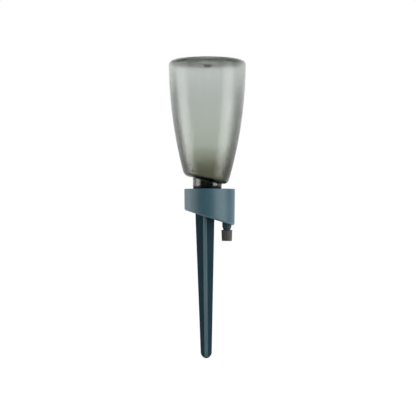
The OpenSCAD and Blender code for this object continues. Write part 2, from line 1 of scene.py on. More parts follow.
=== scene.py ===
# %% [markdown]
# # A drip watering spike
#
# This lesson dresses a finished CAD model in Blender. The object is an upturned bottle of
# smoky plastic that plugs into a round holder with a slanted underside. A cross-bladed
# spike stands it in the soil, and a small ribbed valve under the holder sets the drip.
#
# The CAD model gives every size and every place. It is loaded first and never moved.
# Lengths of shapes are in millimetres, and MM turns them into Blender's metres.

from math import atan, atan2, cos, degrees, pi, radians, sin, sqrt, tan

import bmesh
import bpy
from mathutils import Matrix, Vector


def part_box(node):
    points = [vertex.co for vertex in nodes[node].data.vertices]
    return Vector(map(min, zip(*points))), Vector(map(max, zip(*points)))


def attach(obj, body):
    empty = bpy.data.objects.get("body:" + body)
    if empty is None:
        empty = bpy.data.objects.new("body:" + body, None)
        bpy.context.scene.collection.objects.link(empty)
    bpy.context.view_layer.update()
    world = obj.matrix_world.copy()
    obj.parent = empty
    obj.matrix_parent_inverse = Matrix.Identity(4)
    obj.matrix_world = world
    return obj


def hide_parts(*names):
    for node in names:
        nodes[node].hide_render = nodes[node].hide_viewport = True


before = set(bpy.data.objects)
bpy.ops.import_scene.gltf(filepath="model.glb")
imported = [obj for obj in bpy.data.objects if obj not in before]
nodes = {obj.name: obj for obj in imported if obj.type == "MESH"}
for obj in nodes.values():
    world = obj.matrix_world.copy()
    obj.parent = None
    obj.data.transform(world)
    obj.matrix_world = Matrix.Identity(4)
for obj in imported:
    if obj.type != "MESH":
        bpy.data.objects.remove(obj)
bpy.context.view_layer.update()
MM = 0.001

# %% [markdown]
# ## The camera
#
# The photograph was taken level, from the height of the holder's underside and from 1.3 m
# away, with a lens of about 100 mm. The holder is seen nearly edge on there, the bottle's
# shoulder from just below, and the base of the bottle as a thin dark ellipse.

# %% Camera at the photograph's place
camera_x, camera_distance, camera_height = 0.8, 1300, 166.6
camera_data = bpy.data.cameras.new("studio_camera")
camera_data.lens = 101.4
camera_data.sensor_width = 36.0
camera = bpy.data.objects.new("studio_camera", camera_data)
camera.location = (camera_x * MM, -camera_distance * MM, camera_height * MM)
camera.rotation_euler = (radians(90), 0, 0)
bpy.context.scene.collection.objects.link(camera)
bpy.context.scene.camera = camera
print("camera", camera_distance, "mm away, lens", round(camera_data.lens, 1), "mm")

# %% [markdown]
# ## Helpers for shapes
#
# Most pieces are round, or nearly so. Each one is described by its meridian, the line that
# a cut through the axis would show, and the meridian may change with the angle. A slanted
# shoulder or a flute is then only a rule for how it changes. `skin` joins the meridians
# into one closed mesh, `arc` gives the points of a rounding, and `climbing_ridge` winds a
# screw thread. Blender could also spin a curve or cut shapes from each other, but a skin
# from points has even faces, and nothing in it has to be cut.


# %% Points of arcs and lines
def arc(centre, r, start, end, steps, first=0):
    """Points of an arc in the [radius, height] plane, with angles in degrees."""
    angles = [radians(start + (end - start) * i / steps) for i in range(first, steps + 1)]
    return [(centre[0] + r * cos(a), centre[1] + r * sin(a)) for a in angles]


def straight(start, end, steps, first=1):
    """Points of a straight line, without its first point."""
    return [(start[0] + (end[0] - start[0]) * i / steps,
             start[1] + (end[1] - start[1]) * i / steps) for i in range(first, steps + 1)]


# %% A closed skin
def bands(rings, corners, closed=False):
    """Faces that join each ring of points to the next, and the last to the first if closed."""
    faces = []
    for k in range(rings if closed else rings - 1):
        above = (k + 1) % rings
        for i in range(corners):
            j = (i + 1) % corners
            faces.append((k * corners + i, k * corners + j,
                          above * corners + j, above * corners + i))
    return faces


def skin(meridian, sides, centre_x=0, poles=True):
    """Points and faces of a closed skin. meridian(angle) lists [radius, height] points. With
    poles, the first and last of them lie on the axis. Without, the last joins the first."""
    lines = [meridian(360 * i / sides) for i in range(sides)]
    count = len(lines[0])
    points = [(centre_x + line[k][0] * cos(2 * pi * i / sides),
               line[k][0] * sin(2 * pi * i / sides), line[k][1])
              for k in range(count) for i, line in enumerate(lines)]
    return points, bands(count, sides, closed=not poles)


# %% A screw thread
def ridge_section(root_r, crest_r, half_root, half_crest):
    """The section of a thread's ridge as [radius, height] points, wide at its root."""
    return [(root_r, -half_root), (crest_r, -half_crest),
            (crest_r, half_crest), (root_r, half_root)]


def climbing_ridge(section, pitch, turns, sides, centre_x, z, fade_steps=6):
    """Points and faces of a thread's ridge, which fades into its root at both ends."""
    steps, corners = round(turns * sides), len(section)
    root = section[0][0]
    points = []
    for i in range(steps + 1):
        a, rise = 2 * pi * i / sides, pitch * i / sides
        fade = min(1, i / fade_steps, (steps - i) / fade_steps)
        for r, h in section:
            at = root + (r - root) * fade
            points.append((centre_x + at * cos(a), at * sin(a), z + h + rise))
    ends = [tuple(range(corners)), tuple(steps * corners + j for j in range(corners))]
    return points, ends + bands(steps + 1, corners)


def joined(*shapes):
    """Several shapes' points and faces as one."""
    points, faces = [], []
    for more_points, more_faces in shapes:
        faces += [tuple(i + len(points) for i in face) for face in more_faces]
        points += more_points
    return points, faces


# %% A piece from points and faces
same_point = 0.0005


def make_piece(name, shape, body, replaced=(), sharp=35):
    """A mesh object from points in millimetres, which rides on a body of the CAD model."""
    mesh = bpy.data.meshes.new(name)
    mesh.from_pydata([Vector(p) * MM for p in shape[0]], [], shape[1])
    work = bmesh.new()
    work.from_mesh(mesh)
    bmesh.ops.remove_doubles(work, verts=work.verts, dist=same_point * MM)
    bmesh.ops.recalc_face_normals(work, faces=work.faces)
    work.to_mesh(mesh)
    work.free()
    mesh.polygons.foreach_set("use_smooth", [True] * len(mesh.polygons))
    mesh.set_sharp_from_angle(angle=radians(sharp))
    piece = bpy.data.objects.new(name, mesh)
    bpy.context.scene.collection.objects.link(piece)
    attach(piece, body)
    if replaced:
        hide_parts(*replaced)
    print(name, len(mesh.polygons), "faces")
    return piece


# %% [markdown]
# ## The bottle
#
# On the real object this is a blow-moulded bottle, base up. Its side is one long curve, its
# base has a shallow hollow with a small moulding mark, and its shoulder is cut at a slant
# that matches the holder. A single transparent surface would look like a soap bubble, so the
# bottle is a real shell with an outside and an inside. Light is then bent and darkened by
# the wall as in the real one, most of all near the edges.
#
# A blown wall isn't even. Here the shoulder's inner plane is steeper than its outer one, and
# its inner corner is sharper, so that the wall and the dark crescent over the collar thin out
# towards the low side; the crescent is also painted shade on the shoulder's plate, which is
# weaker on that side. The collar's foot reaches down to the cap's rim, and its tint is
# painted nearly black as shade, so that it leaves no light line there.

# %% Sizes of the bottle
base_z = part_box("bottle")[1].z / MM
mouth_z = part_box("bottle")[0].z / MM
ledge_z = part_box("cap")[1].z / MM + 0.3
bottle_d, side_r, base_edge_r = 85.6, 478, 5
hollow_d, hollow_h, gate_d, gate_h, gate_edge_r = 62, 4.5, 9, 1.4, 0.4
bottle_wall, shoulder_wall, shoulder_z = 1.6, 1.8, ledge_z + 6.4
outer_tilt, high_edge_r, low_edge_r = radians(12), 8, 5.6
inner_tilt, inner_high_edge_r, inner_low_edge_r = radians(14), 3.4, 2.6
neck_d, neck_wall, ledge_t, fillet_r = 32.2, 1.8, 1.8, 1.2
foot_drop, foot_edge_r, lip = 0.24, 0.4, 1
mouth_d, mouth_wall, mouth_edge_r = 24.6, 1.6, 0.3
print("bottle from", round(mouth_z, 2), "to", round(base_z, 2), "mm, ledge at", round(ledge_z, 2))


# %% The base and the plane of the shoulder
def dish(share, inset):
    """A point of the base's hollow, at a share of its radius."""
    return share * hollow_d / 2, base_z - inset - hollow_h * (1 + cos(pi * share)) / 2


def base_line(inset):
    """The base from its middle outwards. Inside, the moulding mark stands out from it."""
    line = [dish(i / 16, inset) for i in range(17)]
    if not inset:
        return line
    r, z = gate_d / 2, base_z - hollow_h - inset - gate_h
    mark = [(0, z), (r - gate_edge_r, z), (r, z + gate_edge_r)]
    mark.append((r, dish(2 * r / hollow_d, inset)[1]))
    return mark + [point for point in line if point[0] > r + 0.3]


def shoulder_at(r, angle, inset):
    """Height of the shoulder's plane. The inner one is steeper than the outer one."""
    rise, tilt = (shoulder_wall / cos(outer_tilt), inner_tilt) if inset else (0, outer_tilt)
    return shoulder_z + rise - r * tan(tilt) * cos(radians(angle))


# %% The bottle's outline on one meridian
def wall_line(angle, inset):
    """Base, side and shoulder edge, at the outside or at an inset for the inside."""
    side_centre = (bottle_d / 2 - side_r, base_z)
    reach = sqrt((side_r - base_edge_r) ** 2 - base_edge_r ** 2)
    base_centre = (side_centre[0] + reach, base_z - base_edge_r)
    side_start = -degrees(atan(base_edge_r / reach))
    tilt, high_r, low_r = ((inner_tilt, inner_high_edge_r, inner_low_edge_r) if inset
                           else (outer_tilt, high_edge_r, low_edge_r))
    slope = tan(tilt) * cos(radians(angle))
    edge_r = (high_r + low_r) / 2 - (high_r - low_r) / 2 * cos(radians(angle))
    # The shoulder's rounding touches both the side's curve and the slanted plane. Its centre
    # lies on a line over the plane, and a quadratic gives its distance from the axis.
    lifted = shoulder_at(0, angle, inset) + edge_r * sqrt(1 + slope ** 2)
    k = lifted - base_z
    a, b = 1 + slope ** 2, side_centre[0] + slope * k
    c = side_centre[0] ** 2 + k ** 2 - (side_r - inset - edge_r) ** 2
    edge_x = (b + sqrt(b * b - a * c)) / a
    edge_centre = (edge_x, lifted - slope * edge_x)
    side_end = degrees(atan2(edge_centre[1] - base_z, edge_centre[0] - side_centre[0]))
    return (base_line(inset) + arc(base_centre, base_edge_r - inset, 90, side_start, 12)
            + arc(side_centre, side_r - inset, side_start, side_end, 40, 1)
            + arc(edge_centre, edge_r, side_end, -90 - degrees(atan(slope)), 14, 1))


# %% The collar's outside, down to the mouth
def collar_line(angle, start):
    """From the shoulder's plane over a fillet and down round the collar and the mouth."""
    slope = tan(outer_tilt) * cos(radians(angle))
    collar_r, mouth_r, foot_z = neck_d / 2, mouth_d / 2, ledge_z - foot_drop
    fillet_x = collar_r + fillet_r
    fillet_z = shoulder_at(fillet_x, angle, 0) - fillet_r * sqrt(1 + slope ** 2)
    fillet = arc((fillet_x, fillet_z), fillet_r, 90 - degrees(atan(slope)), 180, 6)
    line = straight(start, fillet[0], 6) + fillet[1:]
    line += straight(line[-1], (collar_r, foot_z + foot_edge_r), 6)
    line += arc((collar_r - foot_edge_r, foot_z + foot_edge_r), foot_edge_r, 0, -90, 4, 1)
    line += straight(line[-1], (mouth_r, ledge_z), 2)
    line += straight(line[-1], (mouth_r, mouth_z + mouth_edge_r), 4)
    return line + arc((mouth_r - mouth_edge_r, mouth_z + mouth_edge_r), mouth_edge_r, 0, -90, 3, 1)


# %% The whole wall, from the base down, round the mouth and up the inside
def bottle_meridian(angle):
    """The bottle's section at an angle, from the middle of its base out and back inside."""
    slope = tan(outer_tilt) * cos(radians(angle))
    bore_r, throat_r = neck_d / 2 - neck_wall, mouth_d / 2 - mouth_wall
    line = wall_line(angle, 0)
    line += collar_line(angle, line[-1]) + [(throat_r, mouth_z)]
    line += straight(line[-1], (throat_r, ledge_z + ledge_t), 4)
    line += straight(line[-1], (bore_r, ledge_z + ledge_t), 2)
    top = shoulder_at(bore_r + lip, angle, bottle_wall)
    line += straight(line[-1], (bore_r, top - lip + slope), 4)
    line += [(bore_r + 0.3 * lip, top - 0.3 * lip + slope)]
    inside = wall_line(angle, bottle_wall)[::-1]
    return line + straight((bore_r + lip, top), inside[0], 5, 0) + inside[1:]


# %% Make the bottle
neck_section = ridge_section(mouth_d / 2 - 0.2, mouth_d / 2 + 1, 0.8, 0.4)
neck_pitch, neck_turns, neck_start = 3.2, 1.78, 1.6
neck_thread = climbing_ridge(neck_section, neck_pitch, neck_turns, 72, 0, mouth_z + neck_start)
bottle = make_piece("bottle_shell", joined(skin(bottle_meridian, 144), neck_thread), "bottle",
                    ["bottle"], sharp=50)

# %% [markdown]
# ## The holder
#
# The real holder is one injection-moulded cup. Its rim is softly rounded, its side has a
# slight draft so that it leaves the mould, and its underside is a slanted plane with a
# rounded edge. The same kind of skin makes it, with the height of its lower edge set by the
# angle. The pocket's boss, the outlet's collar and the pin for the bottle's valve stand on
# its floor, where the socket shows them once the bottle is lifted out.

# %% Sizes of the holder
holder_x, holder_d, holder_h = 2.6, 56.3, 32.3
holder_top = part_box("holder_cup")[1].z / MM
stand_h, fall_tilt, floor_t = holder_top - holder_h, radians(17.8), 2.4
fall, floor_rise = tan(fall_tilt), floor_t / cos(fall_tilt)
lid_bore_r, ledge_in_r, ledge_seat_z = 25.95, 24.85, holder_top - 3.8
draft_degrees, foot_r, rim_r, lid_bevel, floor_bevel = 0.7, 2.2, 0.8, 0.3, 1.2
draft = tan(radians(draft_degrees))


def under_z(x):
    """Height of the holder's underside at a distance from the bottle's axis."""
    return stand_h - (x - holder_x) * fall


# %% The cup's meridian, from the middle of the underside up, over the rim and down inside
def cup_meridian(angle):
    slope = fall * cos(radians(angle))
    level = stand_h + foot_r * sqrt(1 + slope ** 2)
    side_at_foot = holder_d / 2 - (holder_top - level) * draft - foot_r * sqrt(1 + draft ** 2)
    foot_x = side_at_foot / (1 + slope * draft)
    foot = arc((foot_x, level - slope * foot_x), foot_r, -90 - degrees(atan(slope)),
               -draft_degrees, 12)
    rim = arc((holder_d / 2 - rim_r, holder_top - rim_r), rim_r, 0, 90, 6)
    in_r = ledge_in_r - floor_bevel
    in_z, corner_z = [stand_h + floor_rise - slope * r for r in (in_r, ledge_in_r)]
    line = straight((0, stand_h), foot[0], 10, 0) + foot[1:] + straight(foot[-1], rim[0], 16)
    line += rim[1:] + [(lid_bore_r + lid_bevel, holder_top)]
    line += straight((lid_bore_r, holder_top - lid_bevel), (lid_bore_r, ledge_seat_z), 2, 0)
    line += straight((ledge_in_r, ledge_seat_z), (ledge_in_r, corner_z + floor_bevel), 6, 0)
    line += [(ledge_in_r - 0.35, corner_z + 0.35 + 0.35 * slope)]
    return line + straight((in_r, in_z), (0, stand_h + floor_rise), 6, 0)


def post(x, r, top, low=None, edge=0.3):
    """A round post with a softened top edge. It stands on the slanted floor, or at a height."""
    def meridian(angle):
        foot = [low or under_z(x + at * cos(radians(angle))) + floor_rise / 2 for at in (0, r)]
        return [(0, foot[0]), (r, foot[1]), (r, top - edge),
                (r - 0.3 * edge, top - 0.3 * edge), (r - edge, top), (0, top)]
    return skin(meridian, 48, x)


# %% Make the cup, with its boss, pin and outlet
boss_x, boss_r, boss_h = -2.6, 9.33, 11.3
boss_top = under_z(boss_x) + boss_h
pin_r, pin_top = 2.1, holder_top - 13.8
valve_x, outlet_r, outlet_h = holder_x + holder_d / 2 - 9.05, 5.42, 2.2
drip_under_z = under_z(valve_x)
cup_parts = [skin(cup_meridian, 192, holder_x), post(boss_x, boss_r, boss_top),
             post(0, pin_r, pin_top, low=boss_top - 1),
             post(valve_x, outlet_r, drip_under_z + floor_rise + outlet_h)]
holder = make_piece("holder_shell", joined(*cup_parts), "holder",
                    ["holder_cup"])

# %% [markdown]
# ## The spike
#
# The spike is moulded as two crossed blades, so that it is stiff with little plastic, and
# its faces meet in small roundings. A plus-shaped section is drawn at many heights and the
# rings are joined, as a loft does. Near the tip the two blades are narrower than they are
# thick, so the arms of the section swap their parts there. The last ring is cut to the
# holder's slanted underside.

# %% Sizes of the spike
blade_t, tip_half, top_half, tip_flank_r = 3.5, 6.2, 11.2, 7.2
arm_edge_r, notch_r = 0.45, 0.6
tip_x, lean = 1.1, radians(0.55)
tip_l = sqrt(tip_flank_r ** 2 - (tip_flank_r - tip_half) ** 2)
spike_top_l = (under_z(-tip_x) + (tip_x + stand_h * sin(lean)) * fall) / cos(lean)
blade_l = spike_top_l + 2 * top_half
print("spike", round(2 * tip_half, 1), "mm wide over its tip,", round(spike_top_l, 1), "mm long")


def blade_half(along):
    """Half of the blades' width at a distance from the tip."""
    if along < tip_l:
        return tip_half - tip_flank_r + sqrt(tip_flank_r ** 2 - (tip_l - along) ** 2)
    return tip_half + (top_half - tip_half) * (along - tip_l) / (blade_l - tip_l)


# %% The plus-shaped section, with rounded corners inside and outside
def plus_section(along):
    """One ring of the spike at a distance from the tip, as [x, y] points."""
    a, t = max(blade_half(along), 0.05), blade_t / 2
    reach, half = max(a, t), min(a, t)
    outer = min(arm_edge_r, 0.6 * half)
    inner = min(notch_r, max(0.02, 0.5 * (reach - half)))
    arm = (arc((reach - outer, -half + outer), outer, -90, 0, 3)
           + arc((reach - outer, half - outer), outer, 0, 90, 3)
           + arc((half + inner, half + inner), inner, 270, 180, 3))
    turns = ((1, 0, 0, 1), (0, -1, 1, 0), (-1, 0, 0, -1), (0, 1, -1, 0))
    return [(x * c + y * d, x * e + y * f) for c, d, e, f in turns for x, y in arm]


# %% Places on the leaning spike
def on_spike(x, y, along):
    """A point of the leaning spike in the frame of the whole object."""
    return x * cos(lean) - along * sin(lean) - tip_x, y, x * sin(lean) + along * cos(lean)


def cut_length(x):
    """Distance from the tip at which a line of the spike meets the holder's underside."""
    return ((stand_h - (x * cos(lean) - tip_x - holder_x) * fall - x * sin(lean))
            / (cos(lean) - fall * sin(lean)))


# %% Loft the spike
tip_steps, blade_steps, last_step = 22, 30, 8
full_l = spike_top_l - last_step - tip_l
lengths = [tip_l * (1 - cos(pi / 2 * i / tip_steps)) for i in range(tip_steps)]
lengths += [tip_l + full_l * i / blade_steps for i in range(blade_steps + 1)]
rings = [[on_spike(x, y, along) for x, y in plus_section(along)] for along in lengths]
rings.append([on_spike(x, y, cut_length(x)) for x, y in plus_section(spike_top_l)])
corners = len(rings[0])
points = [point for ring in rings for point in ring]
ends = [tuple(range(corners)), tuple(range(len(points) - corners, len(points)))]
spike = make_piece("spike_blades", (points, ends + bands(len(rings), corners)), "holder",
                   ["spike"], sharp=40)

# %% [markdown]
# ## The drip valve
#
# A short ribbed barrel hangs under the holder's outlet. Its spout has a fine thread, and a
# fluted knob turns on it. Screwing the knob down draws a needle out of the spout, and the
# drip gets faster. Barrel and knob are turned shapes whose radius follows the flutes.

# %% Sizes of the valve
barrel_r, neck_r, cone_r, spout_r, groove_r, channel_r = 5.2, 4.7, 4.1, 3.5, 2.95, 1.8
cone_z = drip_under_z - 6.8
neck_z = cone_z + 2.6
knob_z, knob_top_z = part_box("drip_knob")[0].z / MM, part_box("drip_knob")[1].z / MM
knob_foot_r, knob_spread, thread_bore_r, thread_pitch = 5.65, 0.45, 4.05, 1.5
knob_floor_z = knob_z + 2.4
needle_seat_r, needle_seat_h, drip_r = 3.45, 0.8, 1.5
spout_z = knob_floor_z + 1.3
barrel_flutes = {"flute_r": 1.3, "depth": 0.5, "count": 10}
knob_flutes = {"flute_r": 0.565, "depth": 0.3, "count": 18}
print("barrel's end at", round(cone_z, 2), "mm, knob from", round(knob_z, 2),
      "to", round(knob_top_z, 2))


def fluted(angle, r, flute_r, depth, count):
    """Radius at an angle of a round rod with round flutes along it."""
    middle = r + flute_r - depth
    away = radians((angle + 180 / count) % (360 / count) - 180 / count)
    under = flute_r ** 2 - (middle * sin(away)) ** 2
    return r if under <= 0 else min(r, middle * cos(away) - sqrt(under))


# %% The barrel, from the outlet down the ribs, the cone and the spout
def barrel_meridian(angle):
    r = fluted(angle, barrel_r, **barrel_flutes)
    top = [under_z(valve_x + at * cos(radians(angle))) for at in (channel_r, r)]
    line = [(channel_r, top[0]), (r, top[1])] + straight((r, top[1]), (r, neck_z + 0.25), 4)
    line += [(r - 0.08, neck_z + 0.08), (max(neck_r, r - 0.25), neck_z), (neck_r, neck_z - 0.02)]
    line += straight(line[-1], (cone_r, cone_z + 0.2), 3)
    line += [(cone_r - 0.2, cone_z), (spout_r, cone_z)]
    line += straight(line[-1], (spout_r, spout_z + 1.6), 3)
    line += [(groove_r, spout_z + 1.6), (groove_r, spout_z + 0.4), (spout_r, spout_z + 0.4)]
    return line + [(spout_r, spout_z + 0.2), (spout_r - 0.2, spout_z), (channel_r, spout_z)]


spout_section = ridge_section(3.3, 3.95, 0.375, 0.19)
spout_thread = climbing_ridge(spout_section, thread_pitch, 3.53, 48, valve_x, spout_z + 2.75)
barrel_shape = joined(skin(barrel_meridian, 160, valve_x, poles=False), spout_thread)
barrel = make_piece("barrel_shell", barrel_shape, "holder", ["drip_barrel"])


# %% The knob, from its top edge down the flutes and up through its bore
def knob_meridian(angle):
    def outside(z):
        share = (z - knob_z - 0.5) / (knob_top_z - knob_z - 0.5)
        return fluted(angle, knob_foot_r + knob_spread * share, **knob_flutes), z
    foot, top = outside(knob_z + 0.5), outside(knob_top_z - 0.3)
    line = [(thread_bore_r + 0.8, knob_top_z), (top[0] - 0.3, knob_top_z)]
    line += [(top[0] - 0.09, knob_top_z - 0.09), top]
    line += [outside(top[1] + (foot[1] - top[1]) * i / 6) for i in range(1, 6)]
    line += [foot, (foot[0] - 0.15, knob_z + 0.15), (foot[0] - 0.5, knob_z)]
    line += [(drip_r + 0.2, knob_z), (drip_r, knob_z + 0.2), (drip_r, knob_floor_z - needle_seat_h)]
    line += [(needle_seat_r, knob_floor_z - needle_seat_h), (needle_seat_r, knob_floor_z)]
    line += straight((thread_bore_r, knob_floor_z), (thread_bore_r, knob_top_z - 0.8), 3, 0)
    return line


knob_section = ridge_section(4.25, 3.6, 0.375, 0.19)
knob_thread = climbing_ridge(knob_section, thread_pitch, 0.82, 48, valve_x, spout_z + 6.5)
knob_shape = joined(skin(knob_meridian, 216, valve_x, poles=False), knob_thread)
knob = make_piece("knob_shell", knob_shape, "knob", ["drip_knob"])


# %% [markdown]
# ## Shared effects
#
# Moulded plastic is never one flat colour. It has a fine grain from the mould, slow changes
# of gloss where the plastic flowed, and edges that were rubbed a little brighter. These
# effects are used by several materials, so each is a node group with named inputs, and
# every material sets its own values.

# %% Helpers for node trees
def put(tree, kind, settings=None, sockets=None):
    """Adds a node, sets its properties, and sets or links its input sockets."""
    node = tree.nodes.new(kind)
    for name, value in (settings or {}).items():
        setattr(node, name, value)
    for name, value in (sockets or {}).items():
        if isinstance(value, bpy.types.NodeSocket):
            tree.links.new(value, node.inputs[name])
        else:
            node.inputs[name].default_value = value
    return node


def new_group(name, inputs, outputs):
    """An empty node group with number inputs, and its input and output nodes."""
    group = bpy.data.node_groups.new(name, "ShaderNodeTree")
    for label, value in inputs.items():
        socket = group.interface.new_socket(label, in_out="INPUT", socket_type="NodeSocketFloat")
        socket.default_value = value
    for label in outputs:
        group.interface.new_socket(label, in_out="OUTPUT", socket_type="NodeSocketFloat")
    given = group.nodes.new("NodeGroupInput").outputs
    return group, given, group.nodes.new("NodeGroupOutput").inputs


# %% Numbers and masks
def math_node(tree, operation, a, b=0.0):
    return put(tree, "ShaderNodeMath", {"operation": operation}, {0: a, 1: b}).outputs[0]


def plus(tree, a, b):
    return math_node(tree, "ADD", a, b)


def times(tree, a, b):
    return math_node(tree, "MULTIPLY", a, b)


def share_between(tree, value, low, high, at_low=0.0, at_high=1.0, smooth=False):
    """0 where the value is at low, 1 where it is at high, or other levels at both ends."""
    settings = {"interpolation_type": "SMOOTHSTEP"} if smooth else {}
    return put(tree, "ShaderNodeMapRange", settings,
               {"Value": value, "From Min": low, "From Max": high,
                "To Min": at_low, "To Max": at_high}).outputs["Result"]


def noise(tree, place, scale, detail):
    return put(tree, "ShaderNodeTexNoise", {},
               {"Vector": place, "Scale": scale, "Detail": detail}).outputs["Fac"]


# %% Colours
def mixed(tree, share, first, second, blend="MIX"):
    """The first colour, blended with the second one by a share."""
    return put(tree, "ShaderNodeMix", {"data_type": "RGBA", "blend_type": blend},
               {0: share, 6: first, 7: second}).outputs[2]


def colour_ramp(tree, value, stops):
    """A colour for each value from 0 to 1, from [place, colour] stops in rising order."""
    node = put(tree, "ShaderNodeValToRGB", {}, {"Fac": value})
    elements = node.color_ramp.elements
    elements[0].position, elements[0].color = stops[0][0], (*stops[0][1], 1)
    elements[1].position, elements[1].color = stops[-1][0], (*stops[-1][1], 1)
    for place, colour in stops[1:-1]:
        elements.new(place).color = (*colour, 1)
    return node.outputs["Color"]


# %% Group: the grain of a mould
def make_moulded_grain():
    """Fine pits and slow gloss changes. Sizes are in millimetres."""
    inputs = {"Pit Size": 0.6, "Patch Size": 14.0, "Roughness": 0.4, "Roughness Spread": 0.08}
    group, given, out = new_group("moulded_grain", inputs, ["Height", "Roughness", "Patches"])
    place = group.nodes.new("ShaderNodeTexCoord").outputs["Object"]
    pit_scale = math_node(group, "DIVIDE", 1 / MM, given["Pit Size"])
    patch_scale = math_node(group, "DIVIDE", 1 / MM, given["Patch Size"])
    pits = noise(group, place, pit_scale, 2.0)
    patches = noise(group, place, patch_scale, 3.0)
    swing = math_node(group, "SUBTRACT", plus(group, pits, patches), 1.0)
    spread = times(group, swing, given["Roughness Spread"])
    group.links.new(pits, out["Height"])
    group.links.new(plus(group, given["Roughness"], spread), out["Roughness"])
    group.links.new(patches, out["Patches"])
    return group


# %% Group: rubbed edges
def make_rubbed_edges():
    """A mask that is 1 on sharp outer edges, broken up by noise. Sizes are in millimetres."""
    noise_scale, strength = 260.0, 14.0
    group, given, out = new_group("rubbed_edges", {"Width": 0.5, "Amount": 1.0}, ["Edges"])
    place = group.nodes.new("ShaderNodeTexCoord").outputs["Object"]
    radius = times(group, given["Width"], MM)
    rounded = put(group, "ShaderNodeBevel", {"samples": 4}, {"Radius": radius}).outputs["Normal"]
    plain = group.nodes.new("ShaderNodeNewGeometry").outputs["Normal"]
    same = put(group, "ShaderNodeVectorMath", {"operation": "DOT_PRODUCT"},
               {0: rounded, 1: plain}).outputs["Value"]
    bend = math_node(group, "SUBTRACT", 1.0, same)
    broken = times(group, times(group, bend, noise(group, place, noise_scale, 3.0)), strength)
    mask = put(group, "ShaderNodeMath", {"operation": "MULTIPLY", "use_clamp": True},
               {0: broken, 1: given["Amount"]}).outputs[0]
    group.links.new(mask, out["Edges"])
    return group


moulded_grain, rubbed_edges = make_moulded_grain(), make_rubbed_edges()
print("groups:", moulded_grain.name, rubbed_edges.name)

# %% [markdown]
# ## Plastics, rubber and steel
#
# One function makes all the solid materials from the two groups. The blue-grey plastic of
# the holder is satin. The spike and the barrel get a darker copy of it as painted shade, and
# the narrow faces of the blades and the holder's lower edge get a lighter copy as a painted
# highlight. The knob is a duller dark grey, the cap almost black, and the small sealing
# pieces are rubber with hardly any shine. Steel is the only metal.


# %% A solid material
def solid_material(name, colour, shade, roughness, specular=0.5, pit_size=0.6, bump=0.02,
                   edge=0.25, metallic=0.0):
    """colour is the usual one, and shade multiplies it where the plastic looks deeper."""
    material = bpy.data.materials.new(name)
    material.use_nodes = True
    tree = material.node_tree
    shader = tree.nodes["Principled BSDF"]
    grain = put(tree, "ShaderNodeGroup", {"node_tree": moulded_grain},
                {"Pit Size": pit_size, "Roughness": roughness}).outputs
    edges = put(tree, "ShaderNodeGroup", {"node_tree": rubbed_edges}, {"Amount": edge}).outputs
    deep = [shade * channel for channel in colour]
    light = [min(1, channel + 0.25 * (1 - channel)) for channel in colour]
    patches = share_between(tree, grain["Patches"], 0.35, 0.65)
    base = mixed(tree, patches, (*deep, 1), (*colour, 1))
    worn = mixed(tree, edges["Edges"], base, (*light, 1))
    relief = put(tree, "ShaderNodeBump", {}, {"Strength": 1.0, "Distance": bump * MM,
                                              "Height": grain["Height"]})
    tree.links.new(worn, shader.inputs["Base Color"])
    tree.links.new(grain["Roughness"], shader.inputs["Roughness"])
    tree.links.new(relief.outputs["Normal"], shader.inputs["Normal"])
    shader.inputs["Metallic"].default_value = metallic
    shader.inputs["Specular IOR Level"].default_value = specular
    return material


# %% The solid materials
blue_grey = solid_material("blue_grey_plastic", (0.043, 0.110, 0.140), 0.9, 0.36)
# Painted shade: a darker, duller copy of the blue-grey plastic for the spike and the barrel.
shaded_blue_grey = solid_material("painted_shade_blue_grey_plastic", (0.012, 0.052, 0.072), 0.88, 0.42,
                                specular=0.35)
# Painted highlight: a lighter copy of the blue-grey plastic for the narrow faces of the blades and
# the rounded lower edge of the holder.
highlit_blue_grey = solid_material("painted_highlight_blue_grey_plastic", (0.090, 0.165, 0.195), 0.9, 0.34)
dark_grey = solid_material("dark_grey_plastic", (0.036, 0.036, 0.035), 0.85, 0.42)
black = solid_material("black_plastic", (0.002, 0.002, 0.002), 0.8, 0.5, specular=0.15, edge=0.02)
white = solid_material("white_plastic", (0.72, 0.72, 0.69), 0.94, 0.4, edge=0.05)
black_rubber = solid_material("black_rubber", (0.014, 0.014, 0.014), 0.8, 0.62,
                              pit_size=0.35, edge=0.05)
pale_rubber = solid_material("pale_rubber", (0.55, 0.55, 0.51), 0.92, 0.6,
                             pit_size=0.35, edge=0.05)
steel = solid_material("spring_steel", (0.58, 0.58, 0.6), 0.9, 0.28,
                       pit_size=0.25, bump=0.006, metallic=1.0)
print("solid materials:", len(bpy.data.materials))


# %% Give every solid piece its material
def dress(thing, material):
    """Puts one material on a piece or a CAD node."""
    if not thing.material_slots:
        thing.data.materials.append(material)
    for slot in thing.material_slots:
        slot.material = material


finishes = {"cap": black, "cap_gasket": pale_rubber, "plug_ring": black_rubber,
            "valve_cage": black, "cage_lid": black, "valve_stem": white,
            "valve_seal": black_rubber, "valve_spring": steel, "holder_lid": blue_grey,
            "lid_seal": black_rubber, "outlet_ring": black_rubber, "drip_needle": white,
            "knob_ring": black_rubber}
for name, material in finishes.items():
    dress(nodes[name], material)
# The spike and the barrel take the copy of the blue-grey plastic that carries painted shade.
for piece, material in ((holder, blue_grey), (spike, shaded_blue_grey),
                        (barrel, shaded_blue_grey), (knob, dark_grey)):
    dress(piece, material)
print("dressed:", len(finishes), "CAD nodes and 4 pieces")


# %% Paint a highlight on the narrow edges of the blades and the holder's lower edge
def paint_highlight(piece, chosen):
    """Gives the lighter material, a painted highlight, to the faces that chosen(face)
    picks, and counts them.
    """
    piece.data.materials.append(highlit_blue_grey)
    picked = [face for face in piece.data.polygons if chosen(face)]
    for face in picked:
        face.material_index = 1
    return len(picked)


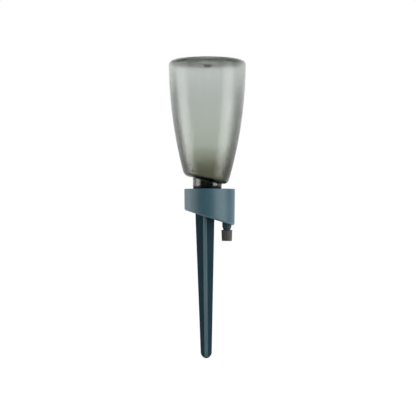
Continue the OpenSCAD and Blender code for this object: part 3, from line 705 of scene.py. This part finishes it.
def on_blade_edge(face):
    """Whether a face of the spike is the narrow side of a blade."""
    centre, normal = face.center, face.normal
    x = abs((centre.x + tip_x * MM) * cos(lean) + centre.z * sin(lean)) / MM
    y = abs(centre.y) / MM
    aside = sqrt(normal.x ** 2 + normal.y ** 2)
    outermost = max(x, y) > blade_half(centre.z / MM) - 0.3
    return outermost and max(abs(normal.x), abs(normal.y)) > 0.9 * aside


def on_lower_edge(face):
    """Whether a face of the holder is on the rounded edge of its underside."""
    away = sqrt((face.center.x - holder_x * MM) ** 2 + face.center.y ** 2) / MM
    return away > 20 and -0.8 < face.normal.z < -0.15


# The counts are of the faces that carry the painted highlight.
print(paint_highlight(spike, on_blade_edge), "rubbed faces on the spike,", paint_highlight(holder, on_lower_edge),
      "on the holder's lower edge")

# %% [markdown]
# ## The bottle's smoky plastic
#
# The bottle is clear plastic with a grey tint, and its skin has the fine hammered grain of
# a blasted mould, which blurs what is behind it. The shader is a rough glass, and its tint
# also carries painted shade and light that the wall's shape doesn't give by itself:
#
# - Painted shade turns it dark olive towards the shoulder, where the dark holder shows in the
#   wall, and darkens the shoulder's rounded corner.
# - Painted shade darkens the outline, where light has the longest way through the plastic.
#   On the upper bottle it is weaker and lighter again at the very edge.
# - Painted rings of shade and light on the base stand for the folds of its hollow, round a
#   painted dark moulding mark, and a painted dark band lies on the top of the base's edge.
# - The shoulder's plate over the collar and the collar's foot are painted nearly black as
#   shade, because only dark pieces lie behind them.
#
# A picture could be wrapped round the bottle instead, but it would fit one view only. Small
# Voronoi cells with noise make the grain.

# %% Zones of the bottle, in metres, and of its masks: 0 at the first value, 1 at the second
# The outline, corner, base, rim, plate and foot zones place painted shade and light.
zones = {"tint": (0.19, 0.33),             # height, from the neck to the base
         "body": (0.1975, 0.2015),         # height, over the collar
         "high_outline": (0.215, 0.29),    # height, where the outline gets lighter
         "side": (0.326, 0.29),            # height, under the rounded base edge
         "lower": (0.30, 0.215),           # height, where the grain gets coarser
         "corner": (0.222, 0.208),         # height, the shoulder's rounded corner
         "plate": (0.23, 0.22),            # height, the shoulder's plate
         "foot": ((ledge_z + 1.7) * MM, (ledge_z + 1.3) * MM),    # height, on the cap
         "base": (0.3225, 0.3245),         # height, the hollow and its rim
         "rim_top": (0.3245, 0.3265),      # height, the upper half of the base's edge
         "rim": (0.0365, 0.038),           # distance from the axis
         "low_side": (0.004, 0.012),       # distance towards the valve
         "upright": (0.8, 0.4),            # level of the surface, for the side
         "lying": (0.4, 0.8),              # level of the surface, for the plate
         "turned": (0.04, 0.3),            # facing, for the mottling
         "corner_turned": (0.25, 0.45)}    # facing, for the corner


def in_zone(tree, value, zone, at_low=0.0, at_high=1.0):
    """How far a value is into one of the bottle's zones."""
    return share_between(tree, value, *zones[zone], at_low, at_high)


print(len(zones), "zones on the bottle")

# %% Colours of the bottle, with its painted shade and light. Each stop is a place from 0 to 1 and its red, green and blue
plain = (1, 1, 1)
# The grey tint by height, with painted shade that turns it dark olive towards the shoulder.
tint_and_shade_stops = [
    (0.0, (0.19, 0.20, 0.155)), (0.15, (0.235, 0.245, 0.19)), (0.25, (0.38, 0.40, 0.35)),
    (0.33, (0.455, 0.48, 0.445)), (0.45, (0.475, 0.50, 0.47)), (0.73, (0.49, 0.51, 0.49)),
    (1.0, (0.55, 0.57, 0.555))]
# Painted shade along the outline of the lower bottle, darkest at its very edge.
low_outline_shade_stops = [
    (0.0, plain), (0.3, plain), (0.42, (0.45, 0.46, 0.46)), (0.6, (0.2, 0.21, 0.2)),
    (1.0, (0.1, 0.1, 0.1))]
# Painted shade along the outline of the upper bottle, weaker and lighter again at its very edge.
high_outline_shade_stops = [
    (0.0, plain), (0.3, plain), (0.5, (0.5, 0.5, 0.5)), (0.75, (0.6, 0.6, 0.6)),
    (1.0, (0.9, 0.9, 0.9))]
# Painted rings of shade and light on the base for the folds of its hollow, with a painted dark spot
# on the moulding mark.
base_shade_ring_stops = [
    (0.0, (0.12, 0.13, 0.13)), (0.10, (0.14, 0.15, 0.15)), (0.125, (0.9, 0.9, 0.9)),
    (0.38, (0.8, 0.8, 0.8)), (0.46, (0.24, 0.25, 0.22)), (0.68, (0.24, 0.25, 0.22)),
    (0.72, (0.08, 0.08, 0.07)), (0.77, (0.12, 0.13, 0.11)), (0.82, (0.36, 0.37, 0.34)),
    (0.88, (0.6, 0.61, 0.59)), (0.93, (0.85, 0.85, 0.84)), (1.0, plain)]
# A painted dark band of shade on the upper half of the base's edge, by facing.
rim_shade_stops = [
    (0.0, plain), (0.16, plain), (0.34, (0.2, 0.2, 0.19)), (0.56, (0.2, 0.2, 0.19)),
    (0.75, plain), (1.0, plain)]
# Painted shade on the shoulder's rounded corner, where it turns away.
corner_shade_colour = (0.45, 0.45, 0.43, 1)
# Painted shade that makes the shoulder's plate over the collar nearly black.
plate_shade_colour = (0.06, 0.065, 0.06, 1)
# Painted shade that makes the collar's foot on the cap black.
foot_shade_colour = (0.01, 0.01, 0.01, 1)
base_r = 43
print("colour stops:", len(tint_and_shade_stops), "for the tint,", len(base_shade_ring_stops), "for the rings")


# %% Where a point lies on the bottle
def bottle_places(tree):
    """Height, distances, level and facing of the point that is shaded, by name."""
    coordinates = tree.nodes.new("ShaderNodeTexCoord").outputs
    place = coordinates["Object"]
    parts = put(tree, "ShaderNodeSeparateXYZ", {}, {0: place}).outputs
    normal = put(tree, "ShaderNodeSeparateXYZ", {}, {0: coordinates["Normal"]}).outputs
    across = put(tree, "ShaderNodeVectorMath", {"operation": "MULTIPLY"},
                 {0: place, 1: (1, 1, 0)}).outputs[0]
    return {"place": place, "height": parts["Z"], "valve_side": parts["X"],
            "level": math_node(tree, "ABSOLUTE", normal["Z"]),
            "facing": put(tree, "ShaderNodeLayerWeight", {}, {"Blend": 0.5}).outputs["Facing"],
            "radius": put(tree, "ShaderNodeVectorMath", {"operation": "LENGTH"},
                          {0: across}).outputs["Value"]}


# %% The tint of side and shoulder, with painted shade
def side_tint_and_shade(tree, at):
    """The tint by height, with painted shade that darkens it towards the shoulder, along the
    outline and on the shoulder's corner.
    """
    height, facing = at["height"], at["facing"]
    tint = colour_ramp(tree, in_zone(tree, height, "tint"), tint_and_shade_stops)
    # Painted shade along the outline, by facing and by height.
    outline_shade = mixed(tree, in_zone(tree, height, "high_outline"),
                    colour_ramp(tree, facing, low_outline_shade_stops),
                    colour_ramp(tree, facing, high_outline_shade_stops))
    side = times(tree, in_zone(tree, at["level"], "upright"), in_zone(tree, height, "side"))
    tint_and_painted_shade = mixed(tree, side, tint, outline_shade, "MULTIPLY")
    # Painted shade on the shoulder's corner, above the collar only.
    corner = times(tree, in_zone(tree, height, "corner"), in_zone(tree, facing, "corner_turned"))
    corner = times(tree, corner, in_zone(tree, height, "body"))
    return mixed(tree, corner, tint_and_painted_shade, corner_shade_colour, "MULTIPLY")


# %% Painted shade and light on the base, the shoulder's plate and the foot
def ends_tint_and_shade(tree, at, tint_and_painted_shade):
    """The same tint with painted rings of shade and light on the base, a painted dark band on
    its edge, and the plate and the foot painted dark as shade.
    """
    height = at["height"]
    # Painted shade and light: rings on the base, and a dark band on its edge.
    rings = colour_ramp(tree, times(tree, at["radius"], 1 / (base_r * MM)), base_shade_ring_stops)
    tint_and_painted_shade = mixed(tree, in_zone(tree, height, "base"), tint_and_painted_shade, rings, "MULTIPLY")
    rim = times(tree, in_zone(tree, at["radius"], "rim"), in_zone(tree, height, "rim_top"))
    tint_and_painted_shade = mixed(tree, rim, tint_and_painted_shade, colour_ramp(tree, at["facing"], rim_shade_stops), "MULTIPLY")
    # The shoulder's plate and the collar's foot are painted dark as shade; on the low side the
    # plate's shade is weaker.
    plate = times(tree, in_zone(tree, at["level"], "lying"), in_zone(tree, height, "plate"))
    plate = times(tree, plate, in_zone(tree, at["valve_side"], "low_side", 1.0, 0.2))
    tint_and_painted_shade = mixed(tree, plate, tint_and_painted_shade, plate_shade_colour, "MULTIPLY")
    return mixed(tree, in_zone(tree, height, "foot"), tint_and_painted_shade, foot_shade_colour, "MULTIPLY")


# %% The hammered grain
grain_scale = 900.0


def hammered(tree, at, tint_and_painted_shade):
    """The tint with a mottling, the roughness and the normal of the grain. All three get
    coarser towards the shoulder, and the mottling shows where the side turns away."""
    body, lower = in_zone(tree, at["height"], "body"), in_zone(tree, at["height"], "lower")
    leather = noise(tree, at["place"], grain_scale, 1.0)
    mottle = share_between(tree, leather, 0.36, 0.64, 0.55, 1.45)
    at_sides = times(tree, in_zone(tree, at["facing"], "turned"),
                     plus(tree, times(tree, lower, 0.8), 0.2))
    tint_and_painted_shade = mixed(tree, at_sides, tint_and_painted_shade, mottle, "MULTIPLY")
    grain = put(tree, "ShaderNodeGroup", {"node_tree": moulded_grain},
                {"Pit Size": 1.1, "Patch Size": 22.0, "Roughness": 0.11,
                 "Roughness Spread": 0.05}).outputs
    blur = times(tree, plus(tree, lower, 1.6), times(tree, body, 0.6))
    roughness = times(tree, grain["Roughness"], plus(tree, blur, 0.3))
    cells = put(tree, "ShaderNodeTexVoronoi", {"feature": "SMOOTH_F1"},
                {"Vector": at["place"], "Scale": grain_scale}).outputs["Distance"]
    coarse = times(tree, times(tree, leather, body), plus(tree, times(tree, lower, 8.0), 1.5))
    surface = plus(tree, plus(tree, cells, grain["Height"]), coarse)
    relief = put(tree, "ShaderNodeBump", {}, {"Strength": 1.0, "Distance": 0.035 * MM,
                                              "Height": surface}).outputs["Normal"]
    return tint_and_painted_shade, roughness, relief


# %% The bottle's material
def bottle_material():
    """A rough glass with the tint, its painted shade and light, and the grain above."""
    material = bpy.data.materials.new("frosted_bottle")
    material.use_nodes = True
    tree = material.node_tree
    shader = tree.nodes["Principled BSDF"]
    at = bottle_places(tree)
    finish = hammered(tree, at, ends_tint_and_shade(tree, at, side_tint_and_shade(tree, at)))
    for output, name in zip(finish, ("Base Color", "Roughness", "Normal")):
        tree.links.new(output, shader.inputs[name])
    shader.inputs["IOR"].default_value = 1.46
    shader.inputs["Transmission Weight"].default_value = 1.0
    return material


dress(bottle, bottle_material())
print("bottle dressed with", len(bottle.active_material.node_tree.nodes), "nodes")

# %% [markdown]
# ## Studio
#
# The object stands on a plain white floor in a white room. What the camera sees behind the
# object, and what shows through the bottle, is white, apart from a dark ceiling. Gloss needs
# something to reflect, so the room is darker on the camera's side, and two low softboxes
# stand at the sides. They are brighter at their foot, so their reflections on the bottle end
# under its base. The holder and the barrel have two broader softboxes of their own, which
# light no other piece, and one more softbox hangs overhead.

# %% Levels of light in the room, where 1 is white
gloss_front, gloss_back, ceiling_level, ambient_level = 0.08, 0.9, 0.1, 0.26
floor_glow, floor_grey, floor_r = 0.84, 0.6, 4.0


# %% The room
def make_room():
    """A world that is white to look at, and darker in front and above for the gloss."""
    world = bpy.data.worlds.new("studio")
    bpy.context.scene.world = world
    world.use_nodes = True
    tree = world.node_tree
    background = tree.nodes["Background"]
    path = tree.nodes.new("ShaderNodeLightPath").outputs
    generated = tree.nodes.new("ShaderNodeTexCoord").outputs["Generated"]
    toward = put(tree, "ShaderNodeSeparateXYZ", {}, {0: generated}).outputs
    behind = share_between(tree, toward["Y"], -0.2, 0.6, gloss_front, gloss_back, smooth=True)
    under_ceiling = share_between(tree, toward["Z"], 0.1, 0.5, 1.0, ceiling_level, smooth=True)
    glossy = times(tree, path["Is Glossy Ray"], behind)
    through = times(tree, path["Is Transmission Ray"], under_ceiling)
    seen = math_node(tree, "MAXIMUM", path["Is Camera Ray"], through)
    ambient = times(tree, path["Is Diffuse Ray"], ambient_level)
    tree.links.new(plus(tree, plus(tree, glossy, seen), ambient), background.inputs["Strength"])
    background.inputs["Color"].default_value = (1, 1, 1, 1)


make_room()
print("world:", bpy.context.scene.world.name)


# %% A softbox
def softbox(name, azimuth, width, tall, brightness, height=0.2, distance=0.42, only=(),
            foot=1.0, top=1.0):
    """A flat lamp that faces the object. Azimuth 0 is the camera's side, 90 is to the right.
    It lights all the pieces, or some of them only. foot and top are its levels at both ends."""
    data = bpy.data.lights.new(name, "AREA")
    data.shape, data.size, data.size_y = "RECTANGLE", width, tall
    data.energy = brightness * pi * width * tall
    data.use_nodes = True
    tree = data.node_tree
    parametric = tree.nodes.new("ShaderNodeNewGeometry").outputs["Parametric"]
    along = put(tree, "ShaderNodeSeparateXYZ", {}, {0: parametric}).outputs
    inwards = math_node(tree, "PINGPONG", along["X"], 0.5)
    soft = share_between(tree, inwards, 0.0, 0.35, 0.0, 1.5, smooth=True)
    graded = share_between(tree, along["Y"], 0.0, 1.0, foot, top)
    tree.links.new(times(tree, soft, graded), tree.nodes["Emission"].inputs["Strength"])
    lamp = bpy.data.objects.new(name, data)
    a = radians(azimuth)
    lamp.location = (sin(a) * distance, -cos(a) * distance, height)
    aim = Vector((0, 0, min(height, 0.4))) - lamp.location
    lamp.rotation_euler = aim.to_track_quat("-Z", "Y").to_euler()
    lamp.visible_camera = lamp.visible_transmission = False
    bpy.context.scene.collection.objects.link(lamp)
    if only:
        lit = bpy.data.collections.new(name + "_lights")
        for thing in only:
            lit.objects.link(thing)
        lamp.light_linking.receiver_collection = lit
    print(name, round(data.energy, 2), "W")


# %% The softboxes, with sizes and places in metres
matte_pieces = [holder, barrel]
others = [thing for thing in bpy.context.scene.objects
          if thing.type == "MESH" and thing not in matte_pieces]
softbox("right", azimuth=64, width=0.40, tall=0.40, brightness=2.5, only=others, foot=2.2, top=0.4)
softbox("left", azimuth=-80, width=0.44, tall=0.40, brightness=2.3, only=others, foot=2.3, top=0.35)
softbox("holder_right", azimuth=52, width=0.72, tall=0.5, brightness=1.9, height=0.25,
        only=matte_pieces)
softbox("holder_left", azimuth=-88, width=0.8, tall=0.5, brightness=1.2, height=0.25,
        only=matte_pieces)
softbox("overhead", azimuth=10, width=1.0, tall=1.0, brightness=1.2, height=1.5, distance=0.3)


# %% The floor
def make_floor():
    """A white floor that is darker to glossy pieces on the camera's side."""
    mesh = bpy.data.meshes.new("floor")
    work = bmesh.new()
    bmesh.ops.create_circle(work, cap_ends=True, segments=64, radius=floor_r)
    work.to_mesh(mesh)
    work.free()
    floor = bpy.data.objects.new("floor", mesh)
    bpy.context.scene.collection.objects.link(floor)
    material = bpy.data.materials.new("white_floor")
    material.use_nodes = True
    tree = material.node_tree
    tree.nodes.remove(tree.nodes["Principled BSDF"])
    path = tree.nodes.new("ShaderNodeLightPath").outputs
    grey = (floor_grey, floor_grey, floor_grey, 1)
    matte = put(tree, "ShaderNodeBsdfDiffuse", {}, {"Color": grey})
    place = tree.nodes.new("ShaderNodeTexCoord").outputs["Object"]
    depth = put(tree, "ShaderNodeSeparateXYZ", {}, {0: place}).outputs["Y"]
    behind = share_between(tree, depth, -0.25, 0.35, gloss_front, 1.0, smooth=True)
    seen = math_node(tree, "MAXIMUM", path["Is Camera Ray"], path["Is Transmission Ray"])
    seen = math_node(tree, "MAXIMUM", seen, times(tree, path["Is Glossy Ray"], behind))
    glow = put(tree, "ShaderNodeEmission", {}, {"Strength": times(tree, seen, floor_glow)})
    both = put(tree, "ShaderNodeAddShader", {}, {0: matte.outputs[0], 1: glow.outputs[0]})
    tree.links.new(both.outputs[0], tree.nodes["Material Output"].inputs["Surface"])
    dress(floor, material)


make_floor()
bpy.context.scene.view_settings.view_transform = "Standard"
print("floor", 2 * floor_r, "m across")
